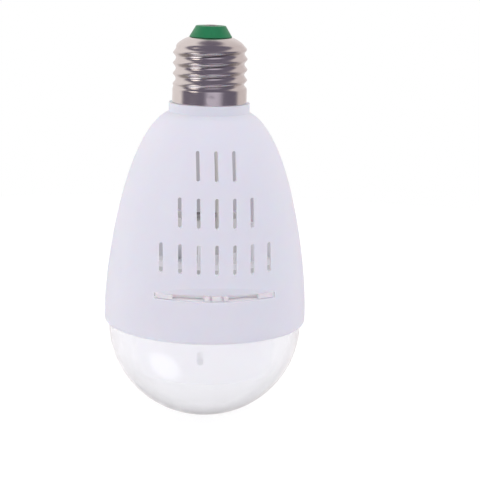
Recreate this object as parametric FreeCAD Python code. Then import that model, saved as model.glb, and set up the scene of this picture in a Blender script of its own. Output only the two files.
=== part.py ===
import FreeCAD, Part
import math
import os

# LED star projector bulb, in millimetres.
# A white bulb-shaped housing hangs from a screw cap and ends in a clear dome. A star slide goes in through a
# slot in the front wall. Four emitters shine down through it, and a motor turns four lenses in the dome.
# The origin is on the lamp's axis, in the plane where the cap's skirt stands on the housing's collar.
# +Z points up through the cap, and the slide's slot is on the -Y side.

Vector = FreeCAD.Vector
AXIS_POINT = Vector(0, 0, 0)
UP = Vector(0, 0, 1)

# Fits
seat_gap = 0.1            # radial gap between pieces that plug together
running_gap = 0.05        # radial gap between the turning shaft and its bores
slide_gap = 0.3           # gap all round the star slide in its channel

overall_height = 140.0    # from the centre contact to the dome's lowest point

# Screw cap, the common 27 mm size
crest_radius = 13.05      # outside radius of the thread and of the plain skirt
thread_pitch = 3.629
thread_depth = 1.05
thread_crests = 4
shell_wall = 0.35
skirt_length = 4.6
shoulder_rise = 3.75      # from the last crest up to the insulator's seat
seat_radius = 7.0         # hole in the top of the shell
shoulder_sweep = 35.0     # degrees that the last crest turns before the shoulder starts
crimp_count = 6
crimp_radius = 1.3        # radius of the punch's round nose
crimp_depth = 0.5
crimp_height = 2.3
crimp_first = -93.5       # degrees to the first mark, which is in front

# Insulator and centre contact
insulator_base_radius = 7.5
insulator_top_radius = 5.2
insulator_height = 3.85
insulator_flange_radius = 8.6
insulator_flange_thickness = 1.4
flange_drop = 0.45        # flange top below the shell's top sheet
contact_radius = 2.2
contact_thickness = 0.6
contact_proud = 0.3
rivet_radius = 1.6
rivet_bore_radius = 0.75

# Housing
collar_radius = 14.2
collar_height = 3.2
housing_wall = 2.0
housing_radius = 36.0     # widest, at the rim
rim_drop = 78.4           # rim's edge below the cap
rim_edge_radius = 1.3
straight_height = 4.2     # plain band above the rim
belly_handle = 15.0       # how long the side keeps near its full width
shoulder_handle = 15.45   # how far the shoulder runs outward before it turns down
shoulder_fall = 0.47      # the shoulder's slope where it leaves the collar
plug_wall = 1.75          # wall of the neck inside the thread
plug_gap = 0.2            # between the neck and the thread's roots
plug_rise = 9.0
band_rise = 4.2           # thick band inside the cap's skirt

# Vents, cut straight from the front and from the back
vent_width = 1.35
vent_length = 10.1
vent_pitch = 6.15
vent_row_pitch = 15.3
vent_first_drop = 18.95   # centre of the top row below the cap
vent_rows = (3, 5, 7)     # slots in each row, from the top

# Slide slot and the scoop above it
slot_drop = 62.6          # middle of the slide below the cap
slot_height = 2.1
scoop_depth = 1.15
scoop_height = 4.4

# Dome
rim_wall = 1.5            # housing's wall round the dome's skirt
dome_wall = 1.5
dome_band = 1.0           # straight stretch below the rim
dome_skirt = 5.0          # part that goes up inside the rim
bead_height = 0.25
bead_half_width = 0.6

# Star slide
slide_thickness = 1.5
slide_side_gap = 0.7      # between the slide and each end of the slot
slide_side_margin = 3.8   # from the films to the slide's sides
slide_inset = 0.7         # front edge behind the housing's face
slide_tail_margin = 3.8   # from the films to the slide's rear end
grip_half_width = 4.0
ear_width = 5.4
recess_depth = 4.2        # the front edge between the grip and the ears stands back
grip_rib_width = 0.9
grip_rib_depth = 1.6
film_post_land = 0.75     # between a film and the slot that clears the post
film_thickness = 0.5
film_ledge = 0.8          # ledge that a film lies on
slide_corner = 5.0

# Optics: four light paths round the shaft
path_count = 4
lens_hub_gap = 3.3        # from the drum's hub to a lens
lens_wall_gap = 2.3       # from a lens to the drum's wall
path_turn = 45.0          # degrees to the first one

# Slide guide and lens plate
guide_gap = 0.35          # round the guide and the lens plate, where the plate's top meets the narrowing wall
guide_floor = 2.4
guide_window_inset = 0.1
post_radius = 2.8
rear_wall_gap = 0.5
lens_plate_thickness = 2.4
ring_inset = 0.6          # ring inside the board's edge
ring_wall = 2.0
ring_height = 3.25
condenser_inset = 0.6     # condenser's edge inside the projection lens's
condenser_thickness = 1.2
condenser_sag = 1.2
condenser_lip = 0.8       # ledge under the lens
condenser_lip_width = 0.9

# Emitters, board and heat sink
board_gap = 6.5           # between the board and the housing's widest inside
board_thickness = 1.6
emitter_size = 5.0
emitter_base = 0.9
emitter_dome_radius = 1.9
emitter_dome_rise = 0.9
sink_base = 2.0
sink_rise = 7.0
fin_count = 16
fin_thickness = 1.2
fin_gap = 1.1             # between the fins and the motor's ears
fin_inset = 0.5           # fins inside the board's edge
lead_hole_radius = 2.6
lead_hole_gap = 1.6       # between the lead hole and the motor

# Motor and shaft
motor_radius = 12.0
motor_height = 12.0
motor_ear_end = 2.9       # from an ear's hole to its end
motor_ear_half_width = 3.2
motor_ear_thickness = 1.0
motor_ear_gap = 3.5       # from the can to an ear's hole
motor_boss_radius = 3.4
motor_boss_drop = 1.5
shaft_radius = 1.5
shaft_in_motor = 6.0

# Turning lens drum
drum_side_gap = 7.8       # between the drum and the dome's band
drum_wall = 1.2
drum_top_gap = 3.0        # below the guide
drum_corner_gap = 3.6     # between the drum's lower edge and the dome, level across
drum_floor = 2.0
hub_radius = 3.6
hub_gap = 0.8             # running gap above the hub
lens_thickness = 1.4
lens_sag = 2.6
lens_lip = 0.7
lens_lip_width = 0.8
drum_slot_ratio = 0.45    # of the slots' height, their width
drum_slot_share = 0.21    # of the wall's height that the slots take up
drum_slot_place = 0.3     # of the wall's height, from the floor up to the slots' middle
drum_turn = -9.5          # degrees that the drum is turned at rest
retainer_radius = 3.0
retainer_thickness = 0.8
retainer_screw_radius = 0.6
retainer_screw_length = 4.0

# Driver and its cover
cover_rim = 2.6           # cover's outside beyond the neck's bore
cover_wall = 1.2
cover_length = 32.0
spigot_wall = 1.1
spigot_rise = 7.0
pcb_edge_gap = 0.1        # between the board's edges and the neck tube's bore
pcb_thickness = 1.2
pcb_top = 8.0
pcb_bottom_gap = 1.5
pcb_offset = 1.6          # board's front face behind the axis
pcb_gap = 0.1             # between the board and its grooves
rail_overlap = 1.7        # how far the grooves hold the board's edges
core_width = 13.0
core_height = 12.0
core_depth = 6.0
core_bar = 2.6
winding_depth = 7.0
smoothing_radius = 4.0
smoothing_length = 8.4
output_radius = 2.6
output_length = 5.2
rectifier_size = 5.0
rectifier_depth = 2.4
chip_width = 4.0
chip_height = 5.0
chip_depth = 1.6
resistor_radius = 1.5
resistor_length = 8.0

# Screws
screw_radius = 1.2
screw_clearance = 0.2     # in the holes that a screw only passes through
pilot_gap = 0.05          # in the holes that it bites in
screw_head_radius = 2.2
screw_head_height = 1.5
recess_width = 0.5        # cross recess in the heads
recess_share = 0.6        # of the head's height
boss_radius = 2.6
boss_inset = 2.4          # screws inside the guide's edge
boss_web = 2.0            # web that ties a boss to the wall
boss_angles = (0.0, 90.0, 180.0)
boss_length = 4.6
sink_screw_gap = 1.3      # between a post and the ring wall
sink_screw_turn = 67.5    # degrees to the first post, midway between two fins
motor_screw_bite = 1.8

# Hook-up leads
lead_radius = 0.6
lead_spacing = 2.4        # between the two leads of a pair
arc_share = 0.45          # of the shorter run, which each bend takes up

# Radii that follow from the sizes above, from the cap down to the dome and then inward
plug_radius = crest_radius - thread_depth - shell_wall - plug_gap
neck_bore_radius = plug_radius - plug_wall
spigot_radius = neck_bore_radius - seat_gap
spigot_bore_radius = spigot_radius - spigot_wall
cover_radius = neck_bore_radius + cover_rim
pcb_corner_radius = spigot_bore_radius - pcb_edge_gap
pcb_half_width = math.sqrt(pcb_corner_radius ** 2 - (pcb_offset + pcb_thickness) ** 2)
dome_seat_radius = housing_radius - rim_wall
dome_radius = dome_seat_radius - seat_gap
dome_inside_radius = dome_radius - dome_wall
board_radius = housing_radius - housing_wall - board_gap
ring_radius = board_radius - ring_inset
sink_screw_circle = ring_radius - ring_wall - sink_screw_gap - boss_radius
lead_hole_offset = motor_radius + lead_hole_gap + lead_hole_radius
motor_ear_hole = motor_radius + motor_ear_gap
motor_ear_reach = motor_ear_hole + motor_ear_end
drum_radius = dome_inside_radius - drum_side_gap
lens_radius = (drum_radius - drum_wall - lens_wall_gap - lens_hub_gap - hub_radius) / 2
path_circle = hub_radius + lens_hub_gap + lens_radius
condenser_radius = lens_radius - condenser_inset
path_offset = path_circle * math.sin(math.radians(path_turn))
film_radius = path_offset - post_radius - slide_gap - film_post_land
window_radius = film_radius - film_ledge
film_reach = path_offset + film_radius
slide_half_width = film_reach + slide_side_margin
slide_tail = film_reach + slide_tail_margin
slot_half_width = slide_half_width + slide_side_gap

# The thread's rolled wave is made of equal arcs
quarter_pitch = thread_pitch / 4
arc_radius = (quarter_pitch ** 2 + (thread_depth / 2) ** 2) / thread_depth
arc_half_angle = math.asin(quarter_pitch / arc_radius)

# Levels that follow from the sizes above, all measured upward from the cap's seat
last_crest = skirt_length + thread_crests * thread_pitch
shoulder_top = last_crest + shoulder_rise
insulator_top = shoulder_top + insulator_height
rim_level = -rim_drop
slot_level = -slot_drop
slot_top = slot_level + slot_height / 2
slot_floor = slot_level - slot_height / 2
slide_bottom = slot_level - slide_thickness / 2
slide_top = slot_level + slide_thickness / 2
guide_bottom = slot_floor - guide_floor
lens_plate_top = slot_top + lens_plate_thickness
board_bottom = lens_plate_top + ring_height
board_top = board_bottom + board_thickness
sink_top = board_top + sink_base
motor_top = sink_top + motor_height
ceiling = -(collar_height + housing_wall / math.hypot(1, shoulder_fall))
cover_bottom = ceiling - cover_length
dome_bottom = insulator_top + contact_proud - overall_height
dome_depth = rim_level - dome_bottom
dome_skirt_top = rim_level + dome_skirt
drum_top = guide_bottom - drum_top_gap
inside_rise = dome_depth - dome_band - dome_wall
corner_share = (drum_radius + drum_corner_gap) / dome_inside_radius
drum_bottom = rim_level - dome_band - inside_rise * math.sqrt(1 - corner_share ** 2)
drum_floor_top = drum_bottom + drum_floor
hub_top = guide_bottom - hub_gap
shaft_end = drum_bottom + retainer_thickness


def at(radius, level):
    return Vector(radius, 0, level)


def line(start, end):
    return Part.LineSegment(start, end).toShape()


def arc(start, middle, end):
    return Part.Arc(start, middle, end).toShape()


def chain(points):
    edges = []
    for start, end in zip(points, points[1:]):
        edges.append(line(start, end))
    return edges


def turned(edges):
    # The solid made by turning a closed outline once round the lamp's axis
    face = Part.Face(Part.Wire(edges))
    return face.revolve(AXIS_POINT, UP, 360)


def turned_outline(points):
    return turned(chain(points + [points[0]]))


def disc(radius, bottom, top):
    return Part.makeCylinder(radius, top - bottom, at(0, bottom))


def ring(outer, inner, bottom, top):
    return disc(outer, bottom, top).cut(disc(inner, bottom, top))


def box(x_range, y_range, z_range):
    size = [high - low for low, high in (x_range, y_range, z_range)]
    return Part.makeBox(size[0], size[1], size[2], Vector(x_range[0], y_range[0], z_range[0]))


def rod(radius, start, end):
    return Part.makeCylinder(radius, (end - start).Length, start, end - start)


def turn(shape, degrees):
    copy = shape.copy()
    copy.rotate(AXIS_POINT, UP, degrees)
    return copy


def moved(shape, offset):
    copy = shape.copy()
    copy.translate(offset)
    return copy


def turned_point(point, degrees):
    return FreeCAD.Rotation(UP, degrees).multVec(point)


def around(shape, count, first=0.0):
    return [turn(shape, first + 360.0 * step / count) for step in range(count)]


def joined(shapes):
    return shapes[0].multiFuse(shapes[1:]).removeSplitter()


def without(shape, tools):
    return shape.cut(Part.makeCompound(tools))


def group(solids):
    return Part.makeCompound(solids)


def light_paths(shape):
    # Copies of a shape made on the axis, one at each of the four light paths
    stand = moved(shape, Vector(path_circle, 0, 0))
    return around(stand, path_count, path_turn)


def offset_curve(curve, distance, samples=24):
    # A smooth curve at a constant distance to the left of a flat curve in the XZ plane
    first, last = curve.FirstParameter, curve.LastParameter
    points = []
    for step in range(samples + 1):
        where = first + (last - first) * step / samples
        along = curve.tangent(where)[0]
        points.append(curve.value(where) + Vector(-along.z, 0, along.x) * distance)
    spline = Part.BSplineCurve()
    spline.interpolate(points)
    return spline


def inside_side(curve, wall):
    # The offset that lies nearer the axis
    left = offset_curve(curve, wall)
    right = offset_curve(curve, -wall)
    return left if left.value(0.5).x < right.value(0.5).x else right


def screw(head_level, length, upward):
    # A pan-head screw on the axis: its head stands outside head_level, and its shank runs the other way
    way = 1.0 if upward else -1.0
    head = rod(screw_head_radius, at(0, head_level), at(0, head_level - way * screw_head_height))
    shank = rod(screw_radius, at(0, head_level), at(0, head_level + way * length))
    outer = head_level - way * screw_head_height
    inner = outer + way * screw_head_height * recess_share
    span = (min(outer, inner), max(outer, inner))
    half = recess_width / 2
    reach = screw_head_radius * recess_share
    cross = [box((-reach, reach), (-half, half), span), box((-half, half), (-reach, reach), span)]
    return without(joined([head, shank]), cross)


def lead(points, radius=lead_radius):
    # A wire along straight runs joined by tangent arcs
    edges = []
    bends = []
    start = points[0]
    for before, corner, after in zip(points, points[1:], points[2:]):
        back = before - corner
        ahead = after - corner
        shorter = min(back.Length, ahead.Length)
        half_turn = (math.pi - back.getAngle(ahead)) / 2
        reach = arc_share * shorter
        bend = reach / math.tan(half_turn)
        enter = corner + back.normalize() * reach
        leave = corner + ahead.normalize() * reach
        toward = ((enter + leave) / 2 - corner).normalize()
        middle = corner + toward * (math.hypot(bend, reach) - bend)
        edges.append(line(start, enter))
        edges.append(arc(enter, middle, leave))
        bends.append(round(bend, 1))
        start = leave
    edges.append(line(start, points[-1]))
    path = Part.Wire(edges)
    circle = Part.Circle(points[0], points[1] - points[0], radius).toShape()
    tube = path.makePipeShell([Part.Wire(circle)], True, True)
    ratio = tube.Volume / (math.pi * radius ** 2 * path.Length)
    print("lead: bend radii", bends, "volume over section times length", round(ratio, 4))
    return tube


# Screw cap

def thread_arc(level, offset, outward, start, end):
    # One arc of the rolled wave, from the angle start to the angle end above the arc's middle
    if outward:
        centre = at(crest_radius - arc_radius, level)
        radius = arc_radius - offset
        side = 1.0
    else:
        centre = at(crest_radius - thread_depth + arc_radius, level)
        radius = arc_radius + offset
        side = -1.0
    points = []
    for angle in (start, (start + end) / 2, end):
        points.append(centre + Vector(side * math.cos(angle), 0, math.sin(angle)) * radius)
    return points


def shell_side(offset):
    # The skirt, the rolled rings and the shoulder, at a given depth in the sheet
    points = thread_arc(skirt_length, offset, True, 0, arc_half_angle)
    edges = [line(at(crest_radius - offset, 0), points[0]), arc(*points)]
    for turn_number in range(1, thread_crests + 1):
        level = skirt_length + turn_number * thread_pitch
        root = thread_arc(level - thread_pitch / 2, offset, False, -arc_half_angle, arc_half_angle)
        edges.append(arc(*root))
        last = turn_number == thread_crests
        sweep = math.radians(shoulder_sweep) if last else arc_half_angle
        crest = thread_arc(level, offset, True, -arc_half_angle, sweep)
        edges.append(arc(*crest))
    start = shoulder_curve().StartPoint
    curve = shoulder_curve() if offset == 0 else inside_side(shoulder_curve(), offset)
    edges.append(curve.toShape())
    return edges, curve.EndPoint


def shoulder_curve():
    start = thread_arc(last_crest, 0, True, 0, math.radians(shoulder_sweep))[2]
    along = Vector(-math.sin(math.radians(shoulder_sweep)), 0, math.cos(math.radians(shoulder_sweep)))
    rise = shoulder_top - start.z
    run = start.x - seat_radius
    curve = Part.BezierCurve()
    curve.setPoles([
        start,
        start + along * rise * 0.75,
        at(seat_radius + run * 0.5, shoulder_top),
        at(seat_radius, shoulder_top),
    ])
    return curve


def crimp_noses(radius):
    centre_circle = crest_radius - crimp_depth + crimp_radius
    ball = Part.makeSphere(radius, at(centre_circle, crimp_height))
    return around(ball, crimp_count, crimp_first)


def make_screw_shell():
    outer, outer_end = shell_side(0)
    inner, inner_end = shell_side(shell_wall)
    closing = [line(outer_end, inner_end), line(at(crest_radius, 0), at(crest_radius - shell_wall, 0))]
    sheet = turned(Part.sortEdges(outer + inner + closing)[0])
    inside = disc(crest_radius - shell_wall / 2, 0, skirt_length)
    bumps = [ball.common(inside) for ball in crimp_noses(crimp_radius + shell_wall)]
    return without(joined([sheet] + bumps), crimp_noses(crimp_radius))


def make_cap_insulator():
    neck = seat_radius - seat_gap
    flange_top = shoulder_top - shell_wall - flange_drop
    body = turned_outline([
        at(0, shoulder_top),
        at(insulator_base_radius, shoulder_top),
        at(insulator_top_radius, insulator_top),
        at(0, insulator_top),
    ])
    stem = disc(neck, flange_top, shoulder_top)
    flange = disc(insulator_flange_radius, flange_top - insulator_flange_thickness, flange_top)
    pocket_floor = insulator_top + contact_proud - contact_thickness
    pocket = disc(contact_radius + seat_gap, pocket_floor, insulator_top)
    bore = disc(rivet_radius + seat_gap, flange_top - insulator_flange_thickness, insulator_top)
    return without(joined([body, stem, flange]), [pocket, bore])


def rivet_foot():
    return shoulder_top - shell_wall - flange_drop - insulator_flange_thickness


def make_centre_contact():
    top = insulator_top + contact_proud
    crown = contact_proud * 0.8
    head = turned([
        line(at(0, top - contact_thickness), at(contact_radius, top - contact_thickness)),
        line(at(contact_radius, top - contact_thickness), at(contact_radius, top - crown)),
        arc(at(contact_radius, top - crown), at(contact_radius - crown * 0.3, top - crown * 0.3),
            at(contact_radius - crown, top)),
        line(at(contact_radius - crown, top), at(0, top)),
        line(at(0, top), at(0, top - contact_thickness)),
    ])
    stem = disc(rivet_radius, rivet_foot(), top - contact_thickness)
    bore = disc(rivet_bore_radius, rivet_foot(), top - contact_thickness)
    return without(joined([head, stem]), [bore])


# Housing

def side_curve():
    # The bulb's side, from the collar's foot down to the straight band above the rim
    start = at(collar_radius, -collar_height)
    end = at(housing_radius, rim_level + straight_height)
    curve = Part.BezierCurve()
    curve.setPoles([
        start,
        start + Vector(shoulder_handle, 0, -shoulder_handle * shoulder_fall),
        end + Vector(0, 0, belly_handle),
        end,
    ])
    return curve


def outer_body():
    curve = side_curve()
    end = curve.EndPoint
    edge = rim_edge_radius
    diagonal = edge * (1 - math.cos(math.radians(45)))
    return turned([
        line(at(0, 0), at(collar_radius, 0)),
        line(at(collar_radius, 0), curve.StartPoint),
        curve.toShape(),
        line(end, at(housing_radius, rim_level + edge)),
        arc(at(housing_radius, rim_level + edge), at(housing_radius - diagonal, rim_level + diagonal),
            at(housing_radius - edge, rim_level)),
        line(at(housing_radius - edge, rim_level), at(0, rim_level)),
        line(at(0, rim_level), at(0, 0)),
    ])


def inner_space():
    curve = inside_side(side_curve(), housing_wall)
    top, end = curve.StartPoint, curve.EndPoint
    return turned([
        line(at(0, top.z), top),
        curve.toShape(),
        line(end, at(end.x, rim_level)),
        line(at(end.x, rim_level), at(0, rim_level)),
        line(at(0, rim_level), at(0, top.z)),
    ])


def obround(width, length, x, z, y_range):
    # A straight cut through the wall, with round ends
    half = length / 2 - width / 2
    middle = box((x - width / 2, x + width / 2), y_range, (z - half, z + half))
    ends = []
    for end in (z - half, z + half):
        ends.append(rod(width / 2, Vector(x, y_range[0], end), Vector(x, y_range[1], end)))
    return joined([middle] + ends)


def vent_cuts():
    far = housing_radius + housing_wall
    near = cover_radius
    cuts = []
    for row, count in enumerate(vent_rows):
        z = -vent_first_drop - row * vent_row_pitch
        for place in range(count):
            x = (place - (count - 1) / 2) * vent_pitch
            cuts.append(obround(vent_width, vent_length, x, z, (-far, -near)))
            cuts.append(obround(vent_width, vent_length, x, z, (near, far)))
    return cuts


def radius_at(curve, level):
    # The radius of a side at a level, found by halving the curve's parameter
    low, high = curve.FirstParameter, curve.LastParameter
    if level <= curve.EndPoint.z:
        return curve.EndPoint.x
    for halving in range(40):
        middle = (low + high) / 2
        if curve.value(middle).z > level:
            low = middle
        else:
            high = middle
    return curve.value(low).x


def side_radius(level):
    return radius_at(side_curve(), level)


def guide_radius():
    # The guide and the lens plate go in from below, up to where the wall has narrowed to them
    return radius_at(inside_side(side_curve(), housing_wall), lens_plate_top) - guide_gap


def slot_cut():
    depth = side_radius(slot_level) - math.sqrt(side_radius(slot_level) ** 2 - slot_half_width ** 2)
    front = -(housing_radius + housing_wall)
    back = -(side_radius(slot_level) - depth - 2 * housing_wall)
    return box((-slot_half_width, slot_half_width), (front, back), (slot_floor, slot_top))


def scoop_cut():
    # A shallow hollow above the slot that fades out upward and toward the slot's ends
    face = side_radius(slot_top)
    end_y = math.sqrt(face ** 2 - slot_half_width ** 2)
    sagitta = face - scoop_depth - end_y
    radius = (slot_half_width ** 2 + sagitta ** 2) / (2 * sagitta)
    centre = Vector(0, radius - (face - scoop_depth), slot_top)
    kept = Part.makeCone(radius, radius + scoop_depth * 1.15, scoop_height, centre)
    front = -(housing_radius + housing_wall)
    block = box((-slot_half_width, slot_half_width), (front, -end_y), (slot_top, slot_top + scoop_height))
    return block.cut(kept)


def boss_circle():
    return guide_radius() - boss_inset


def boss_places():
    return [turned_point(Vector(boss_circle(), 0, 0), angle) for angle in boss_angles]


def bead_ring(radius, growth):
    middle = rim_level + dome_skirt * 0.5
    width = bead_half_width + growth
    height = bead_height + growth
    return turned_outline([
        at(radius - dome_wall * 0.5, middle - width),
        at(radius, middle - width),
        at(radius + height, middle),
        at(radius, middle + width),
        at(radius - dome_wall * 0.5, middle + width),
    ])


def make_housing():
    skin = outer_body()
    band = disc(crest_radius - shell_wall - seat_gap, 0, band_rise)
    plug = joined([disc(plug_radius, 0, plug_rise), band])
    hollow = inner_space()
    bosses = []
    boss_top = lens_plate_top + boss_length
    web = box((boss_circle(), housing_radius), (-boss_web / 2, boss_web / 2), (lens_plate_top, boss_top))
    for place, angle in zip(boss_places(), boss_angles):
        bosses.append(moved(disc(boss_radius, lens_plate_top, boss_top), place).common(skin))
        bosses.append(turn(web, angle).common(skin))
    shell = joined([skin.cut(hollow), plug] + bosses)
    seat = disc(dome_seat_radius, rim_level, dome_skirt_top)
    groove = bead_ring(dome_seat_radius, seat_gap)
    bore = disc(neck_bore_radius, ceiling - housing_wall, plug_rise)
    pilot = disc(screw_radius + pilot_gap, lens_plate_top, boss_top)
    pilots = [moved(pilot, place) for place in boss_places()]
    cuts = [seat, groove, bore, slot_cut(), scoop_cut()] + pilots
    cuts += crimp_noses(crimp_radius + shell_wall + seat_gap)
    return without(without(shell, cuts), vent_cuts())


def dome_body(radius, depth):
    # A solid with a straight band and half an ellipsoid below it
    # The weight at the outline's corner makes its round side a true quarter of an ellipse
    bottom = rim_level - depth
    start = at(radius, rim_level - dome_band)
    end = at(0, bottom)
    curve = Part.BezierCurve()
    curve.setPoles([start, at(radius, bottom), end])
    curve.setWeight(2, math.sqrt(0.5))
    rim = at(radius, dome_skirt_top)
    middle = at(0, dome_skirt_top)
    return turned([line(middle, rim), line(rim, start), curve.toShape(), line(end, middle)])


def make_dome_cover():
    outer = dome_body(dome_radius, dome_depth)
    inner = dome_body(dome_radius - dome_wall, dome_depth - dome_wall)
    return joined([outer, bead_ring(dome_radius, 0)]).cut(inner)


# Slide guide, lens plate and condensers

def guide_stop():
    return slide_tail + rear_wall_gap


def shaft_passage(radius):
    return disc(radius, drum_bottom, motor_top)


def through_screws():
    radius = screw_radius + screw_clearance
    return [moved(disc(radius, guide_bottom, lens_plate_top), place) for place in boss_places()]


def make_slide_guide():
    radius = guide_radius()
    plate = disc(radius, guide_bottom, slot_top)
    half = slide_half_width + slide_gap
    channel = box((-half, half), (-2 * radius, guide_stop()), (slot_floor, slot_top))
    post = disc(post_radius, guide_bottom, slot_top)
    windows = light_paths(disc(lens_radius - guide_window_inset, guide_bottom, slot_floor))
    body = joined([plate.cut(channel), post])
    return without(body, windows + [shaft_passage(shaft_radius + running_gap)] + through_screws())


def sink_screw_places():
    place = Vector(sink_screw_circle, 0, 0)
    return [turned_point(place, sink_screw_turn), turned_point(place, sink_screw_turn + 180)]


def make_lens_plate():
    plate = disc(guide_radius(), slot_top, lens_plate_top)
    wall = ring(ring_radius, ring_radius - ring_wall, lens_plate_top, board_bottom)
    posts = [moved(disc(boss_radius, lens_plate_top, board_bottom), place) for place in sink_screw_places()]
    body = joined([plate, wall] + posts)
    seats = light_paths(disc(condenser_radius + seat_gap, slot_top + condenser_lip, lens_plate_top))
    holes = light_paths(disc(condenser_radius - condenser_lip_width, slot_top, lens_plate_top))
    pilots = [moved(disc(screw_radius + pilot_gap, lens_plate_top, board_bottom), place)
              for place in sink_screw_places()]
    middle = [shaft_passage(shaft_radius + slide_gap)]
    return without(body, seats + holes + pilots + middle + through_screws())


def plano_convex(radius, bottom, edge, sag, upward):
    # A lens with a plain edge and one domed face
    top = bottom + edge
    if upward:
        outline = [line(at(0, bottom), at(radius, bottom)), line(at(radius, bottom), at(radius, top)),
                   dome_arc(radius, top, sag), line(at(0, top + sag), at(0, bottom))]
    else:
        outline = [line(at(0, top), at(radius, top)), line(at(radius, top), at(radius, bottom)),
                   dome_arc(radius, bottom, -sag), line(at(0, bottom - sag), at(0, top))]
    return turned(outline)


def dome_arc(radius, level, sag):
    # The round face of a lens, from its edge to its middle
    height = abs(sag)
    sphere = (radius ** 2 + height ** 2) / (2 * height)
    half = math.asin(radius / sphere) / 2
    middle_radius = sphere * math.sin(half)
    middle_height = height - sphere * (1 - math.cos(half))
    side = 1.0 if sag > 0 else -1.0
    return arc(at(radius, level), at(middle_radius, level + side * middle_height), at(0, level + sag))


def make_condenser_lenses():
    bottom = slot_top + condenser_lip
    lens = plano_convex(condenser_radius, bottom, condenser_thickness, condenser_sag, True)
    return group(light_paths(lens))


# Emitters, board, heat sink

def make_led_emitters():
    half = emitter_size / 2
    base = box((-half, half), (-half, half), (board_bottom - emitter_base, board_bottom))
    lens = plano_convex(emitter_dome_radius, board_bottom - emitter_base, emitter_base / 2,
                        emitter_dome_rise, False)
    return group(light_paths(joined([base, lens])))


def make_led_board():
    plate = disc(board_radius, board_bottom, board_top)
    holes = [moved(disc(screw_radius + screw_clearance, board_bottom, board_top), place)
             for place in sink_screw_places()]
    return without(plate, holes + [shaft_passage(shaft_radius + slide_gap)])


def make_heat_sink():
    base = disc(board_radius, board_top, sink_top)
    half = fin_thickness / 2
    reach = (motor_ear_reach + fin_gap, board_radius - fin_inset)
    fin = box(reach, (-half, half), (board_top, sink_top + sink_rise))
    body = joined([base] + around(fin, fin_count, 180.0 / fin_count))
    boss_hole = disc(motor_boss_radius + seat_gap, board_top, sink_top)
    leads = moved(disc(lead_hole_radius, board_top, sink_top), Vector(0, lead_hole_offset, 0))
    screws = [moved(disc(screw_radius + screw_clearance, board_top, sink_top), place)
              for place in sink_screw_places()]
    pilots = [moved(disc(screw_radius + pilot_gap, board_top, sink_top), place)
              for place in motor_screw_places()]
    return without(body, [boss_hole, leads] + screws + pilots)


def make_heat_sink_screws():
    length = sink_base + board_thickness + ring_height
    driven = screw(sink_top, length, False)
    return group([moved(driven, place) for place in sink_screw_places()])


# Motor and the turning drum

def motor_screw_places():
    return [Vector(motor_ear_hole, 0, 0), Vector(-motor_ear_hole, 0, 0)]


def make_motor():
    can = disc(motor_radius, sink_top, motor_top)
    ears = box((-motor_ear_reach, motor_ear_reach), (-motor_ear_half_width, motor_ear_half_width),
               (sink_top, sink_top + motor_ear_thickness))
    boss = disc(motor_boss_radius, sink_top - motor_boss_drop, sink_top)
    crown = disc(motor_radius * 0.4, motor_top, motor_top + motor_ear_thickness)
    bore_top = sink_top + shaft_in_motor + slide_gap
    bore = disc(shaft_radius + running_gap, sink_top - motor_boss_drop, bore_top)
    holes = [moved(disc(screw_radius + screw_clearance, sink_top, sink_top + motor_ear_thickness), place)
             for place in motor_screw_places()]
    return without(joined([can, ears, boss, crown]), [bore] + holes)


def make_motor_screws():
    driven = screw(sink_top + motor_ear_thickness, motor_ear_thickness + motor_screw_bite, False)
    return group([moved(driven, place) for place in motor_screw_places()])


def make_motor_shaft():
    shaft = disc(shaft_radius, shaft_end, sink_top + shaft_in_motor)
    return shaft.cut(disc(retainer_screw_radius + pilot_gap, shaft_end, shaft_end + retainer_screw_length))


def make_lens_drum():
    wall = ring(drum_radius, drum_radius - drum_wall, drum_bottom, drum_top)
    floor = disc(drum_radius, drum_bottom, drum_floor_top)
    hub = disc(hub_radius, drum_bottom, hub_top)
    seats = light_paths(disc(lens_radius + seat_gap, drum_bottom + lens_lip, drum_floor_top))
    holes = light_paths(disc(lens_radius - lens_lip_width, drum_bottom, drum_floor_top))
    slot_length = (drum_top - drum_floor_top) * drum_slot_share
    slot_width = slot_length * drum_slot_ratio
    middle = drum_floor_top + (drum_top - drum_floor_top) * drum_slot_place
    slots = []
    for step in range(path_count):
        cut = obround(slot_width, slot_length, 0, middle, (-2 * drum_radius, -drum_radius / 2))
        slots.append(turn(cut, 360.0 * step / path_count))
    bore = disc(shaft_radius, drum_bottom, hub_top)
    washer_seat = disc(retainer_radius + seat_gap, drum_bottom, shaft_end)
    drum = without(joined([wall, floor, hub]), seats + holes + slots + [bore, washer_seat])
    return turn(drum, drum_turn)


def make_projection_lenses():
    bottom = drum_bottom + lens_lip
    lens = plano_convex(lens_radius, bottom, lens_thickness, lens_sag, True)
    return group([turn(copy, drum_turn) for copy in light_paths(lens)])


def make_drum_retainer():
    washer = disc(retainer_radius, drum_bottom, shaft_end)
    shank = disc(retainer_screw_radius, shaft_end, shaft_end + retainer_screw_length - slide_gap)
    half = recess_width / 2
    reach = retainer_radius * recess_share
    slot = box((-reach, reach), (-half, half), (drum_bottom, drum_bottom + retainer_thickness / 2))
    return without(joined([washer, shank]), [slot])


# Star slide

def front_arc(half, y_offset):
    # The slide's round front edge, which follows the housing's face
    radius = side_radius(slot_level) - slide_inset
    return radius, -math.sqrt(radius ** 2 - half ** 2) + y_offset


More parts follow.
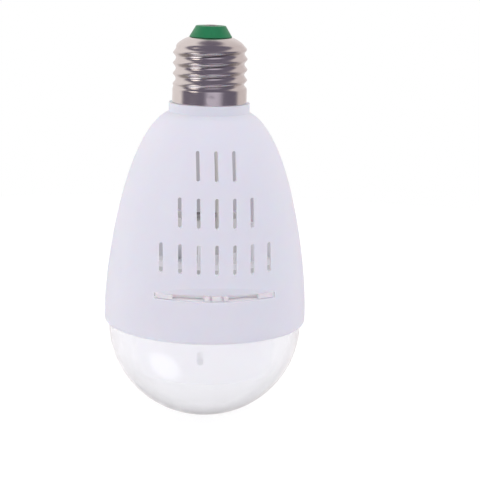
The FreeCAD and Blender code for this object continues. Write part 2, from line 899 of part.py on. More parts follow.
def make_slide_frame():
    half = slide_half_width
    radius, corner_y = front_arc(half, 0)
    blank = box((-half, half), (-2 * radius, slide_tail), (slide_bottom, slide_top))
    upright = [edge for edge in blank.Edges
               if abs(edge.BoundBox.YMin - slide_tail) < 0.001 and edge.BoundBox.ZLength > 0.1
               and edge.BoundBox.XLength < 0.001]
    blank = blank.makeFillet(slide_corner, upright)
    body = blank.common(disc(radius, slide_bottom, slide_top).fuse(
        box((-half, half), (corner_y, slide_tail), (slide_bottom, slide_top))))
    notch_half = post_radius + slide_gap
    notch = joined([disc(notch_half, slide_bottom, slide_top),
                    box((-notch_half, notch_half), (0, slide_tail), (slide_bottom, slide_top))])
    set_back = ring(2 * radius, radius - recess_depth, slide_bottom, slide_top)
    recesses = []
    for side in (1, -1):
        ends = sorted((side * grip_half_width, side * (half - ear_width)))
        block = box(ends, (-2 * radius, corner_y), (slide_bottom, slide_top))
        recesses.append(set_back.common(block))
    grooves = []
    for side in (1, -1):
        x = side * grip_half_width / 2
        grooves.append(box((x - grip_rib_width / 2, x + grip_rib_width / 2),
                           (-2 * radius, -radius + grip_rib_depth), (slide_bottom, slide_top)))
    windows = light_paths(disc(window_radius, slide_bottom, slide_top))
    seats = light_paths(disc(film_radius + seat_gap, slide_top - film_thickness, slide_top))
    return without(body, [notch] + recesses + grooves + windows + seats)


def make_star_films():
    return group(light_paths(disc(film_radius, slide_top - film_thickness, slide_top)))


def make_guide_screws():
    driven = screw(guide_bottom, slot_top - guide_bottom + lens_plate_thickness + boss_length * 0.8, True)
    return group([moved(driven, place) for place in boss_places()])


# Driver

def make_driver_cover():
    tube = ring(cover_radius, cover_radius - cover_wall, cover_bottom, ceiling)
    floor = disc(cover_radius, cover_bottom, cover_bottom + cover_wall)
    top = disc(cover_radius, ceiling - cover_wall, ceiling)
    spigot = disc(spigot_radius, ceiling - cover_wall, ceiling + spigot_rise)
    bore = disc(spigot_bore_radius, ceiling - cover_wall, ceiling + spigot_rise)
    rails = []
    rail_depth = (pcb_front() - pcb_gap - cover_wall, pcb_back() + pcb_gap + cover_wall)
    for side in (1, -1):
        ends = sorted((side * (pcb_half_width - rail_overlap), side * (cover_radius - cover_wall / 2)))
        rail = box(ends, rail_depth, (cover_bottom, ceiling))
        rails.append(rail.common(disc(cover_radius, cover_bottom, ceiling)))
    half = pcb_half_width + pcb_gap
    groove = box((-half, half), (pcb_front() - pcb_gap, pcb_back() + pcb_gap), (pcb_bottom(), ceiling))
    below = Vector(0, led_lead_exit(), cover_bottom - 1)
    above = Vector(0, led_lead_exit(), pcb_bottom() + 1)
    level = motor_lead_level()
    outside = Vector(0, -cover_radius - 1, level)
    exits = [rod(lead_hole_radius, below, above), rod(motor_hole_radius(), outside, Vector(0, 0, level))]
    body = joined([tube, floor, top, spigot] + rails)
    return without(body, [bore, groove] + exits)


def pcb_front():
    return pcb_offset


def pcb_back():
    return pcb_offset + pcb_thickness


def pcb_bottom():
    return cover_bottom + cover_wall


def make_driver_board():
    return box((-pcb_half_width, pcb_half_width), (pcb_front(), pcb_back()), (pcb_bottom(), pcb_top))


def core_level():
    return pcb_bottom() + pcb_bottom_gap


def make_transformer_core():
    front = pcb_front()
    outer = box((-core_width / 2, core_width / 2), (front - core_depth - core_bar / 2, front - core_bar / 2),
                (core_level(), core_level() + core_height))
    windows = []
    for side in (1, -1):
        ends = sorted((side * core_bar / 2, side * (core_width / 2 - core_bar)))
        heights = (core_level() + core_bar, core_level() + core_height - core_bar)
        windows.append(box(ends, (-2 * core_width, front), heights))
    return without(outer, windows)


def make_transformer_winding():
    front = pcb_front()
    wide = core_width / 2 - core_bar - seat_gap
    low = core_level() + core_bar + seat_gap
    high = core_level() + core_height - core_bar - seat_gap
    block = box((-wide, wide), (front - winding_depth - core_bar / 2, front), (low, high))
    leg = core_bar / 2 + seat_gap
    core_rear = front - core_bar / 2 + seat_gap
    core_slot = box((-leg, leg), (core_rear - core_depth - 2 * seat_gap, core_rear), (low, high))
    return block.cut(core_slot)


def can_capacitor(radius, length, x, z, face, way):
    # A round can standing off the board, with a soft shoulder at its free end
    body = rod(radius, Vector(x, face, z), Vector(x, face + way * length, z))
    rim = [edge for edge in body.Edges if abs(edge.BoundBox.YMin - (face + way * length)) < 0.001
           and edge.BoundBox.YLength < 0.001]
    return body.makeFillet(radius * 0.12, rim)


def smoothing_level():
    return core_level() + core_height + smoothing_radius + seat_gap


def make_smoothing_capacitor():
    return can_capacitor(smoothing_radius, smoothing_length, 0, smoothing_level(), pcb_front(), -1)


def make_output_capacitor():
    level = core_level() + core_height / 2
    return can_capacitor(output_radius, output_length, -pcb_half_width / 2 + 1, level, pcb_back(), 1)


def rear_block(width, height, depth, z):
    return box((-width / 2, width / 2), (pcb_back(), pcb_back() + depth), (z - height / 2, z + height / 2))


def make_bridge_rectifier():
    return rear_block(rectifier_size, rectifier_size, rectifier_depth, ceiling)


def make_driver_chip():
    return rear_block(chip_width, chip_height, chip_depth, smoothing_level())


def make_fusible_resistor():
    level = pcb_top - 2 * resistor_radius
    front = pcb_front() - resistor_radius
    half = resistor_length / 2
    body = rod(resistor_radius, Vector(-half, front, level), Vector(half, front, level))
    rims = [edge for edge in body.Edges if edge.BoundBox.XLength < 0.001]
    return body.makeFillet(resistor_radius * 0.3, rims)


# Leads

def make_live_lead():
    foot = Vector(pcb_half_width / 2, (pcb_front() + pcb_back()) / 2, pcb_top)
    head = at(0, insulator_top + contact_proud - contact_thickness)
    rise = rivet_foot() - pcb_top
    return lead([
        foot,
        foot + Vector(0, 0, rise * 0.22),
        Vector(foot.x * 0.72, foot.y * 0.6, pcb_top + rise * 0.45),
        Vector(foot.x * 0.22, foot.y * 0.2, pcb_top + rise * 0.68),
        Vector(0, 0, pcb_top + rise * 0.9),
        head,
    ])


def make_neutral_lead():
    foot = Vector(-pcb_half_width / 2, (pcb_front() + pcb_back()) / 2, pcb_top)
    wall = crest_radius - thread_depth - shell_wall
    level = last_crest - thread_pitch / 2
    over = level - pcb_top
    return lead([
        foot,
        foot + Vector(0, 0, over * 0.35),
        foot + Vector(-1.0, -foot.y * 0.6, over * 0.7),
        Vector(-wall * 0.7, 0, level),
        Vector(-wall, 0, level),
    ])


def led_lead_exit():
    # How far behind the axis the pair leaves the cover
    return pcb_back() + lead_hole_radius + 1.0


def make_led_leads():
    pair = []
    for side in (1, -1):
        x = side * lead_spacing / 2
        exit_y = led_lead_exit()
        pair.append(lead([
            Vector(x, pcb_back() + lead_radius, pcb_bottom() + 5.0),
            Vector(x, exit_y, pcb_bottom() + 2.0),
            Vector(x, exit_y + 0.6, cover_bottom - 1.2),
            Vector(x, lead_hole_offset, motor_top + 0.4),
            Vector(x, lead_hole_offset, board_top),
        ]))
    return group(pair)


def motor_lead_level():
    # The pair passes just above the smoothing capacitor
    return smoothing_level() + smoothing_radius + lead_radius + 1.0


def motor_hole_radius():
    return lead_spacing / 2 + lead_radius + 0.6


def make_motor_leads():
    pair = []
    level = motor_lead_level()
    fall = level - motor_top
    front = -cover_radius
    for side in (1, -1):
        x = side * lead_spacing / 2
        foot = -math.sqrt((motor_radius + lead_radius) ** 2 - (2 * x) ** 2)
        pair.append(lead([
            Vector(x, pcb_front(), level),
            Vector(x, front + 3.0, level),
            Vector(x, front - 3.0, level - 0.8),
            Vector(x * 0.9, front - 5.0, level - fall * 0.22),
            Vector(x * 1.2, front - 4.6, level - fall * 0.51),
            Vector(x * 1.6, front - 3.2, level - fall * 0.72),
            Vector(x * 2.0, front - 1.8, level - fall * 0.9),
            Vector(x * 2.0, foot, motor_top - 1.5),
            Vector(x * 2.0, foot, sink_top + 5.0),
        ]))
    return group(pair)


PIECES = {
    "centre_contact": make_centre_contact,
    "cap_insulator": make_cap_insulator,
    "screw_shell": make_screw_shell,
    "housing": make_housing,
    "dome_cover": make_dome_cover,
    "driver_cover": make_driver_cover,
    "driver_board": make_driver_board,
    "transformer_core": make_transformer_core,
    "transformer_winding": make_transformer_winding,
    "smoothing_capacitor": make_smoothing_capacitor,
    "output_capacitor": make_output_capacitor,
    "bridge_rectifier": make_bridge_rectifier,
    "driver_chip": make_driver_chip,
    "fusible_resistor": make_fusible_resistor,
    "live_lead": make_live_lead,
    "neutral_lead": make_neutral_lead,
    "led_leads": make_led_leads,
    "motor_leads": make_motor_leads,
    "heat_sink": make_heat_sink,
    "heat_sink_screws": make_heat_sink_screws,
    "led_board": make_led_board,
    "led_emitters": make_led_emitters,
    "lens_plate": make_lens_plate,
    "condenser_lenses": make_condenser_lenses,
    "slide_guide": make_slide_guide,
    "guide_screws": make_guide_screws,
    "slide_frame": make_slide_frame,
    "star_films": make_star_films,
    "motor": make_motor,
    "motor_screws": make_motor_screws,
    "motor_shaft": make_motor_shaft,
    "lens_drum": make_lens_drum,
    "projection_lenses": make_projection_lenses,
    "drum_retainer": make_drum_retainer,
}


def main():
    os.makedirs("parts", exist_ok=True)
    for name, make in PIECES.items():
        shape = make()
        print(name, "solids", len(shape.Solids), "valid", shape.isValid(), "volume", round(shape.Volume, 2))
        shape.exportStep("parts/" + name + ".step")


main()
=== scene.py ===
import math

import bpy
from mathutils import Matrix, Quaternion, Vector


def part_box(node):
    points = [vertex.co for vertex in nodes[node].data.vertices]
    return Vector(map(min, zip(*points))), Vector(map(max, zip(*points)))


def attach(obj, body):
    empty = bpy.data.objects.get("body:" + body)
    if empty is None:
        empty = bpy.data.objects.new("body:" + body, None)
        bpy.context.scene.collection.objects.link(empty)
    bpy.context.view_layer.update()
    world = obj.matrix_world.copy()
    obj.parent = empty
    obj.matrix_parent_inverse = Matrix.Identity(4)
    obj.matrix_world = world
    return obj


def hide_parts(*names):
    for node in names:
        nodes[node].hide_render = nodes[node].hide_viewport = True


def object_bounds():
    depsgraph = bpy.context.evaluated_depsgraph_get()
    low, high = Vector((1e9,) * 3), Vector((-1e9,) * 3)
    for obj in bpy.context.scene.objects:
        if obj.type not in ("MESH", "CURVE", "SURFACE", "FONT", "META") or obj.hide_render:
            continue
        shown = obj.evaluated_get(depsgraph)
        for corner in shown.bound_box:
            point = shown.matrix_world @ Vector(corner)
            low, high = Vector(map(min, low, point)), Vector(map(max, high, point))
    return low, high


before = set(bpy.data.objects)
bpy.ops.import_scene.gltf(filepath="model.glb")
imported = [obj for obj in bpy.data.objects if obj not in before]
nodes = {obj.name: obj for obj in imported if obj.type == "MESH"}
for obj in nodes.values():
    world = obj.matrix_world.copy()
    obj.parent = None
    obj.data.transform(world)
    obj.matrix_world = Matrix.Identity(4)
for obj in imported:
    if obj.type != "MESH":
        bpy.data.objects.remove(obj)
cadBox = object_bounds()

# LED star projector bulb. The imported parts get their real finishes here, and the rolled screw shell and the
# moulded insulator are built again with the details that the plain solids leave out.
# Sizes in the dictionaries are in millimetres, and the meshes are in metres.

mm = 0.001


# Colours and shader nodes

def toLinear(hexColour):
    # sRGB hex to the linear colour that a socket takes
    parts = [int(hexColour[i:i + 2], 16) / 255 for i in (1, 3, 5)]
    return tuple(c / 12.92 if c <= 0.04045 else ((c + 0.055) / 1.055) ** 2.4 for c in parts) + (1.0,)


def perMetre(size):
    # Texture scale for a pattern whose grain is this many millimetres
    return 1 / (size * mm)


def addNode(tree, kind, settings, links=()):
    # Lower-case keys are the node's own settings, capitals and numbers are its sockets
    node = tree.nodes.new(kind)
    for key, value in settings.items():
        if isinstance(key, str) and key[0].islower():
            setattr(node, key, value)
        else:
            node.inputs[key].default_value = value
    for socket, source in links:
        tree.links.new(source, node.inputs[socket])
    return node


def newMaterial(name):
    material = bpy.data.materials.new(name)
    material.use_nodes = True
    material.node_tree.nodes.clear()
    return material, material.node_tree


def paintSideShade(tree, colour, side):
    # Painted shade: darkens the faces that stand within 30 degrees of upright by a second colour
    normal = addNode(tree, "ShaderNodeNewGeometry", {}).outputs["Normal"]
    upward = addNode(tree, "ShaderNodeSeparateXYZ", {}, [("Vector", normal)]).outputs["Z"]
    upright = addNode(tree, "ShaderNodeMath", {"operation": "COMPARE", 1: 0.0, 2: 0.5}, [(0, upward)])
    return addNode(tree, "ShaderNodeMix", {"data_type": "RGBA", "blend_type": "MULTIPLY", 7: toLinear(side)},
                   [(0, upright.outputs["Value"]), (6, colour)]).outputs[2]


def letLightThrough(tree, shader, values):
    # A share of the light that falls on the wall goes on behind it, as in thin plastic
    passing = addNode(tree, "ShaderNodeBsdfTransparent", {"Color": toLinear(values["colour"])})
    ray = addNode(tree, "ShaderNodeLightPath", {})
    soft = addNode(tree, "ShaderNodeMath", {"operation": "MAXIMUM"}, [
        (0, ray.outputs["Is Shadow Ray"]), (1, ray.outputs["Is Diffuse Ray"])])
    share = addNode(tree, "ShaderNodeMath", {"operation": "MULTIPLY", 1: values["share"]},
                    [(0, soft.outputs["Value"])])
    return addNode(tree, "ShaderNodeMixShader", {}, [
        (0, share.outputs["Value"]), (1, shader.outputs["BSDF"]), (2, passing.outputs["BSDF"])]).outputs["Shader"]


def closeMaterial(tree, values, colour, glossPattern, relief):
    # The end of every finish: one pattern moves its roughness between two values, and one raises its bump
    # painted shade on the upright faces, where a finish asks for it
    if "sides" in values:
        colour = paintSideShade(tree, colour, values["sides"])
    gloss = addNode(tree, "ShaderNodeMapRange", {"To Min": values["roughness"][0], "To Max": values["roughness"][1]},
                    [("Value", glossPattern)])
    bump = addNode(tree, "ShaderNodeBump", {"Strength": values["bump"], "Distance": values["depth"] * mm},
                   [("Height", relief)])
    shader = addNode(tree, "ShaderNodeBsdfPrincipled", values["sockets"],
                     [("Base Color", colour), ("Roughness", gloss.outputs["Result"]),
                      ("Normal", bump.outputs["Normal"])])
    surface = letLightThrough(tree, shader, values["passing"]) if "passing" in values else shader.outputs["BSDF"]
    addNode(tree, "ShaderNodeOutputMaterial", {}, [("Surface", surface)])


noiseDetail = {"drift": 3.0, "grain": 4.0, "flow": 2.0}    # how far each cloud breaks up into finer ones


def finish(values):
    # A solid finish: two near colours drift over the surface, and a fine grain gives the gloss and the bump.
    # "stretch" draws the grain out into rolled or turned lines
    material, tree = newMaterial(values["name"])
    place = addNode(tree, "ShaderNodeTexCoord", {}).outputs["Object"]
    drift = addNode(tree, "ShaderNodeTexNoise", {"Scale": perMetre(values["drift"]), "Detail": noiseDetail["drift"]},
                    [("Vector", place)])
    stretched = addNode(tree, "ShaderNodeMapping", {"Scale": values.get("stretch", (1, 1, 1))}, [("Vector", place)])
    grain = addNode(tree, "ShaderNodeTexNoise", {"Scale": perMetre(values["grain"]), "Detail": noiseDetail["grain"]},
                    [("Vector", stretched.outputs["Vector"])])
    tint = addNode(tree, "ShaderNodeMix", {"data_type": "RGBA", 6: toLinear(values["colours"][0]),
                                           7: toLinear(values["colours"][1])}, [(0, drift.outputs["Fac"])])
    closeMaterial(tree, values, tint.outputs[2], grain.outputs["Fac"], grain.outputs["Fac"])
    return material


def clearFinish(values):
    # Clear plastic: mostly see-through, with a share of milky scatter. Lamp light passes it without being bent,
    # so what is behind it stays lit
    material, tree = newMaterial(values["name"])
    place = addNode(tree, "ShaderNodeTexCoord", {}).outputs["Object"]
    flow = addNode(tree, "ShaderNodeTexNoise", {"Scale": perMetre(values["flow"]), "Detail": noiseDetail["flow"]},
                   [("Vector", place)])
    tint = addNode(tree, "ShaderNodeMix", {"data_type": "RGBA", 6: toLinear(values["colours"][0]),
                                           7: toLinear(values["colours"][1])}, [(0, flow.outputs["Fac"])])
    closeMaterial(tree, values, tint.outputs[2], flow.outputs["Fac"], flow.outputs["Fac"])
    return material


def dress(material, *names):
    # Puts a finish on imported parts
    for name in names:
        for place in nodes[name].material_slots:
            place.material = material


# Plain finishes. Real grain of moulded and plated surfaces is too fine to show, so it is drawn 0.2 to 0.7 mm wide

nickel = {
    "name": "nickelPlatedBrass",       # rolled sheet, so the plating shows faint lines round the cap
    "colours": ("#e6dfdc", "#dbd4d0"), "drift": 6.0, "grain": 0.5, "stretch": (0.15, 0.15, 1.0),
    "roughness": (0.14, 0.3), "bump": 0.12, "depth": 0.05,
    "sockets": {"Metallic": 1.0},
}
solder = {
    "name": "tinnedContact",           # dull dipped tin, slightly uneven
    "colours": ("#c4c3be", "#aaa9a4"), "drift": 2.0, "grain": 0.7,
    "roughness": (0.25, 0.45), "bump": 0.3, "depth": 0.08,
    "sockets": {"Metallic": 1.0},
}
phenolic = {
    "name": "greenPhenolicMoulding",   # pressed resin with a low sheen
    "colours": ("#158150", "#117145"), "drift": 3.0, "grain": 0.35,
    "roughness": (0.36, 0.5), "bump": 0.15, "depth": 0.04,
    "sockets": {"IOR": 1.55},
}
shellPlastic = {
    "name": "whiteMouldedAbs",         # satin mould surface, lets a little light through
    "colours": ("#e0e1eb", "#dbdce6"), "drift": 30.0, "grain": 0.5,
    "roughness": (0.42, 0.52), "bump": 0.06, "depth": 0.03, "passing": {"colour": "#fdfcfc", "share": 0.96},
    "sockets": {"IOR": 1.53, "Subsurface Weight": 0.25, "Subsurface Scale": 0.004},
}
innerPlastic = {
    "name": "whiteGlassFilledNylon",   # inner mouldings, a little rougher and warmer
    "colours": ("#efeef2", "#e7e6ea"), "drift": 12.0, "grain": 0.4,
    "roughness": (0.5, 0.62), "bump": 0.1, "depth": 0.04, "passing": {"colour": "#fbfafa", "share": 0.8},
    "sockets": {"IOR": 1.53, "Subsurface Weight": 0.2, "Subsurface Scale": 0.003},
}
coverPlastic = {
    "name": "greyFlameProofPbt",       # driver cover, duller than the other mouldings
    "colours": ("#b6b5bb", "#acabb1"), "drift": 8.0, "grain": 0.4,
    "roughness": (0.5, 0.62), "bump": 0.1, "depth": 0.04,
    "sockets": {"IOR": 1.55},
}
drumPlastic = {
    "name": "mouldedPolystyrene",      # drum, smooth and slightly glossy
    "colours": ("#fafafc", "#f4f4f7"), "drift": 10.0, "grain": 0.5,
    "roughness": (0.3, 0.4), "bump": 0.06, "depth": 0.03, "passing": {"colour": "#fdfdfd", "share": 0.9},
    "sockets": {"IOR": 1.59, "Subsurface Weight": 0.2, "Subsurface Scale": 0.003},
}
cardPlastic = {
    "name": "satinMouldedAbs",         # slide frame, a thin moulding with a satin top
    "colours": ("#e6e5ea", "#dddce1"), "drift": 8.0, "grain": 0.5,
    "roughness": (0.38, 0.5), "bump": 0.08, "depth": 0.03,
    "sockets": {"IOR": 1.53, "Subsurface Weight": 0.3, "Subsurface Scale": 0.003},
}
castMetal = {
    "name": "castAluminium",           # pale casting skin, more matt than bare metal
    "colours": ("#e6e7ea", "#dbdce0"), "drift": 5.0, "grain": 0.4,
    "roughness": (0.5, 0.65), "bump": 0.35, "depth": 0.06,
    "sockets": {"Metallic": 0.2},
}
zinc = {
    "name": "zincPlatedSteel",         # screws, cool silver with a soft shine
    "colours": ("#c9ccd0", "#b4b9bf"), "drift": 1.5, "grain": 0.3,
    "roughness": (0.25, 0.4), "bump": 0.15, "depth": 0.03,
    "sockets": {"Metallic": 1.0},
}
motorSteel = {
    "name": "enamelledSteelCan",       # drawn can with faint lines down the draw, pale enamel, with painted shade round the side
    "colours": ("#f6f6f4", "#ececea"), "sides": "#d9d9da", "drift": 5.0, "grain": 0.4, "stretch": (1.0, 1.0, 0.12),
    "roughness": (0.4, 0.55), "bump": 0.15, "depth": 0.04,
    "sockets": {"IOR": 1.55},
}
groundSteel = {
    "name": "groundSteelShaft",        # fine lines round the shaft
    "colours": ("#d0d1d2", "#c0c2c4"), "drift": 3.0, "grain": 0.25, "stretch": (0.1, 0.1, 1.0),
    "roughness": (0.12, 0.24), "bump": 0.1, "depth": 0.02,
    "sockets": {"Metallic": 1.0},
}
ferrite = {
    "name": "sinteredFerrite",         # near-black ceramic
    "colours": ("#3a3a3d", "#2c2c2f"), "drift": 2.0, "grain": 0.3,
    "roughness": (0.45, 0.65), "bump": 0.3, "depth": 0.04,
    "sockets": {"IOR": 1.6},
}
windingTape = {
    "name": "yellowPolyesterTape",     # wound tape, with the edges of its turns
    "colours": ("#d8b93c", "#c9a52c"), "drift": 3.0, "grain": 0.6, "stretch": (0.1, 0.1, 1.0),
    "roughness": (0.25, 0.38), "bump": 0.35, "depth": 0.06,
    "sockets": {"IOR": 1.57},
}
sleeve = {
    "name": "darkShrinkSleeve",        # capacitor sleeves, shrunk tight
    "colours": ("#2b3038", "#20242b"), "drift": 2.5, "grain": 0.5,
    "roughness": (0.28, 0.4), "bump": 0.12, "depth": 0.03,
    "sockets": {"IOR": 1.52},
}
epoxy = {
    "name": "blackMouldedEpoxy",       # chip bodies, matt from the mould
    "colours": ("#2a2a2a", "#212122"), "drift": 1.2, "grain": 0.2,
    "roughness": (0.5, 0.65), "bump": 0.25, "depth": 0.02,
    "sockets": {"IOR": 1.55},
}
leadPvc = {                            # drawn sleeves, smooth with a low sheen
    "drift": 4.0, "grain": 0.4,
    "roughness": (0.35, 0.48), "bump": 0.08, "depth": 0.02,
    "sockets": {"IOR": 1.54},
}
leadColours = {                        # node: finish, two near colours
    "live_lead": ("redPvcSleeve", "#b8322c", "#a62a26"),
    "neutral_lead": ("whitePvcSleeve", "#e4e2dc", "#d8d5cd"),
    "led_leads": ("bluePvcSleeve", "#2f5fa8", "#27529a"),
    "motor_leads": ("greyPvcSleeve", "#c4c2bf", "#b9b7b3"),
}

dress(finish(shellPlastic), "housing")
dress(finish(innerPlastic), "slide_guide", "lens_plate")
dress(finish(coverPlastic), "driver_cover")
dress(finish(drumPlastic), "lens_drum")
dress(finish(cardPlastic), "slide_frame")
dress(finish(solder), "centre_contact")
dress(finish(castMetal), "heat_sink")
dress(finish(zinc), "heat_sink_screws", "guide_screws", "motor_screws", "drum_retainer")
dress(finish(motorSteel), "motor")
dress(finish(groundSteel), "motor_shaft")
dress(finish(ferrite), "transformer_core")
dress(finish(windingTape), "transformer_winding")
dress(finish(sleeve), "smoothing_capacitor", "output_capacitor")
dress(finish(epoxy), "bridge_rectifier", "driver_chip")
for leadName, (finishName, light, dark) in leadColours.items():
    dress(finish(dict(leadPvc, name=finishName, colours=(light, dark))), leadName)
print("plain finishes done")


# Clear finishes

domePlastic = {
    "name": "clearPolycarbonate",      # blow-moulded dome, clear with a faint haze
    "colours": ("#ffffff", "#fafafd"), "flow": 25.0, "roughness": (0.1, 0.18), "bump": 0.1, "depth": 0.1,
    "passing": {"colour": "#fdfdfe", "share": 0.97},
    "sockets": {"IOR": 1.585, "Transmission Weight": 0.76, "Emission Color": toLinear("#fbfbff"),
                "Emission Strength": 0.038},    # painted glow: the haze gives off a faint light of its own
}
lensPlastic = {
    "name": "clearAcrylic",            # polished lenses
    "colours": ("#ffffff", "#f8fafc"), "flow": 6.0, "roughness": (0.01, 0.03), "bump": 0.05, "depth": 0.02,
    "passing": {"colour": "#fafafa", "share": 0.9},
    "sockets": {"IOR": 1.49, "Transmission Weight": 1.0},
}

dress(clearFinish(domePlastic), "dome_cover")
dress(clearFinish(lensPlastic), "condenser_lenses", "projection_lenses")
print("clear finishes done")


# Finishes with a pattern of their own. "cloud" is how large the soft patches in their colour and gloss are

boardFinish = {
    "name": "greenSolderMask",         # fibreglass board, copper tracks under the green lacquer
    "mask": "#1f6b3f", "track": "#3b8f58", "trackWidth": 0.9, "cell": 3.2,
    "trackFade": 0.1, "brickWidth": 1.7, "rowHeight": 0.8,    # in cells
    "cloud": 1.5, "roughness": (0.25, 0.4), "bump": 0.4, "depth": 0.04,
    "sockets": {"IOR": 1.55},
}
emitterBoardFinish = dict(
    boardFinish, name="whiteSolderMaskOnAluminium", mask="#e4e6e4", track="#cfd3cf",
    sides="#dcdde0",                   # its cut edge is bare metal, and the same grey is also painted shade on all its upright faces
)


def makeBoardFinish(values):
    material, tree = newMaterial(values["name"])
    place = addNode(tree, "ShaderNodeTexCoord", {}).outputs["Object"]
    turned = addNode(tree, "ShaderNodeMapping", {"Rotation": (math.pi / 2, 0, 0)}, [("Vector", place)])
    tracks = addNode(tree, "ShaderNodeTexBrick", {
        "Scale": perMetre(values["cell"]), "Mortar Size": values["trackWidth"] / values["cell"] / 2,
        "Mortar Smooth": values["trackFade"], "Brick Width": values["brickWidth"], "Row Height": values["rowHeight"],
        "Color1": toLinear(values["mask"]), "Color2": toLinear(values["mask"]), "Mortar": toLinear(values["track"]),
    }, [("Vector", turned.outputs["Vector"])])
    cloud = addNode(tree, "ShaderNodeTexNoise", {"Scale": perMetre(values["cloud"])}, [("Vector", place)])
    closeMaterial(tree, values, tracks.outputs["Color"], cloud.outputs["Fac"], tracks.outputs["Fac"])
    return material


resistorFinish = {
    "name": "enamelledResistor",       # beige enamel with painted value bands round it
    "body": ("#cdb694", "#bfa682"), "cloud": 0.8,
    "bands": ((-2.4, "#7a3b1e"), (-1.0, "#1d1d1f"), (0.4, "#c43a2a"), (2.4, "#b6912f")), "bandWidth": 0.7,
    "roughness": (0.35, 0.5), "bump": 0.2, "depth": 0.04,
    "sockets": {"IOR": 1.5},
}


def makeResistorFinish(values):
    material, tree = newMaterial(values["name"])
    place = addNode(tree, "ShaderNodeTexCoord", {}).outputs["Object"]
    along = addNode(tree, "ShaderNodeSeparateXYZ", {}, [("Vector", place)]).outputs["X"]
    cloud = addNode(tree, "ShaderNodeTexNoise", {"Scale": perMetre(values["cloud"])}, [("Vector", place)])
    colour = addNode(tree, "ShaderNodeMix", {"data_type": "RGBA", 6: toLinear(values["body"][0]),
                                             7: toLinear(values["body"][1])}, [(0, cloud.outputs["Fac"])]).outputs[2]
    for middle, shade in values["bands"]:
        near = addNode(tree, "ShaderNodeMath", {"operation": "COMPARE", 1: middle * mm,
                                                2: values["bandWidth"] * mm / 2}, [(0, along)])
        colour = addNode(tree, "ShaderNodeMix", {"data_type": "RGBA", 7: toLinear(shade)},
                         [(0, near.outputs["Value"]), (6, colour)]).outputs[2]
    closeMaterial(tree, values, colour, cloud.outputs["Fac"], cloud.outputs["Fac"])
    return material


emitterFinish = {
    "name": "phosphorUnderSilicone",   # white ceramic base, yellow phosphor seen through its clear cap
    "base": "#e9e9e4", "cap": ("#e3c04a", "#d6ad36"), "baseHeight": 0.95, "cloud": 0.6,
    "roughness": (0.3, 0.12),          # base and cap
    "bump": 0.15, "depth": 0.03,
    "sockets": {"IOR": 1.45},
}


def makeEmitterFinish(values):
    material, tree = newMaterial(values["name"])
    place = addNode(tree, "ShaderNodeTexCoord", {}).outputs["Object"]
    height = addNode(tree, "ShaderNodeSeparateXYZ", {}, [("Vector", place)]).outputs["Z"]
    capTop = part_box("led_board")[0].z - values["baseHeight"] * mm
    isCap = addNode(tree, "ShaderNodeMath", {"operation": "LESS_THAN", 1: capTop}, [(0, height)])
    cloud = addNode(tree, "ShaderNodeTexNoise", {"Scale": perMetre(values["cloud"])}, [("Vector", place)])
    phosphor = addNode(tree, "ShaderNodeMix", {"data_type": "RGBA", 6: toLinear(values["cap"][0]),
                                               7: toLinear(values["cap"][1])}, [(0, cloud.outputs["Fac"])])
    colour = addNode(tree, "ShaderNodeMix", {"data_type": "RGBA", 6: toLinear(values["base"])},
                     [(0, isCap.outputs["Value"]), (7, phosphor.outputs[2])])
    closeMaterial(tree, values, colour.outputs[2], isCap.outputs["Value"], cloud.outputs["Fac"])
    return material


filmFinish = {
    "name": "printedStarFilm",         # dark film with small clear dots
    "film": ("#17243f", "#1f2f52"), "cloud": 3.0,
    "dot": "#e8e6d8", "spacing": 1.5, "dotRadius": 0.14,      # radius in spacings
    "roughness": (0.12, 0.2), "bump": 0.1, "depth": 0.02,
    "sockets": {"IOR": 1.6},
}


def makeFilmFinish(values):
    material, tree = newMaterial(values["name"])
    place = addNode(tree, "ShaderNodeTexCoord", {}).outputs["Object"]
    dots = addNode(tree, "ShaderNodeTexVoronoi", {"Scale": perMetre(values["spacing"])}, [("Vector", place)])
    isDot = addNode(tree, "ShaderNodeMath", {"operation": "LESS_THAN", 1: values["dotRadius"]},
                    [(0, dots.outputs["Distance"])])
    cloud = addNode(tree, "ShaderNodeTexNoise", {"Scale": perMetre(values["cloud"])}, [("Vector", place)])
    film = addNode(tree, "ShaderNodeMix", {"data_type": "RGBA", 6: toLinear(values["film"][0]),
                                           7: toLinear(values["film"][1])}, [(0, cloud.outputs["Fac"])])
    colour = addNode(tree, "ShaderNodeMix", {"data_type": "RGBA", 7: toLinear(values["dot"])},
                     [(0, isDot.outputs["Value"]), (6, film.outputs[2])])
    closeMaterial(tree, values, colour.outputs[2], cloud.outputs["Fac"], isDot.outputs["Value"])
    return material


dress(makeBoardFinish(boardFinish), "driver_board")
dress(makeBoardFinish(emitterBoardFinish), "led_board")
dress(makeResistorFinish(resistorFinish), "fusible_resistor")
dress(makeEmitterFinish(emitterFinish), "led_emitters")
dress(makeFilmFinish(filmFinish), "star_films")
print("patterned finishes done")


# Pieces built here

def addPiece(name, vertices, faces, material):
    mesh = bpy.data.meshes.new(name)
    mesh.from_pydata([tuple(c * mm for c in v) for v in vertices], [], faces)
    mesh.validate()
    mesh.shade_smooth()
    mesh.materials.append(material)
    piece = bpy.data.objects.new(name, mesh)
    bpy.context.scene.collection.objects.link(piece)
    return piece


def turnedFaces(rings, steps):
    # Quads between closed rings, and from the last ring back to the first
    faces = []
    for row in range(rings):
        above = (row + 1) % rings
        for step in range(steps):
            ahead = (step + 1) % steps
            faces.append((row * steps + step, row * steps + ahead, above * steps + ahead, above * steps + step))
    return faces


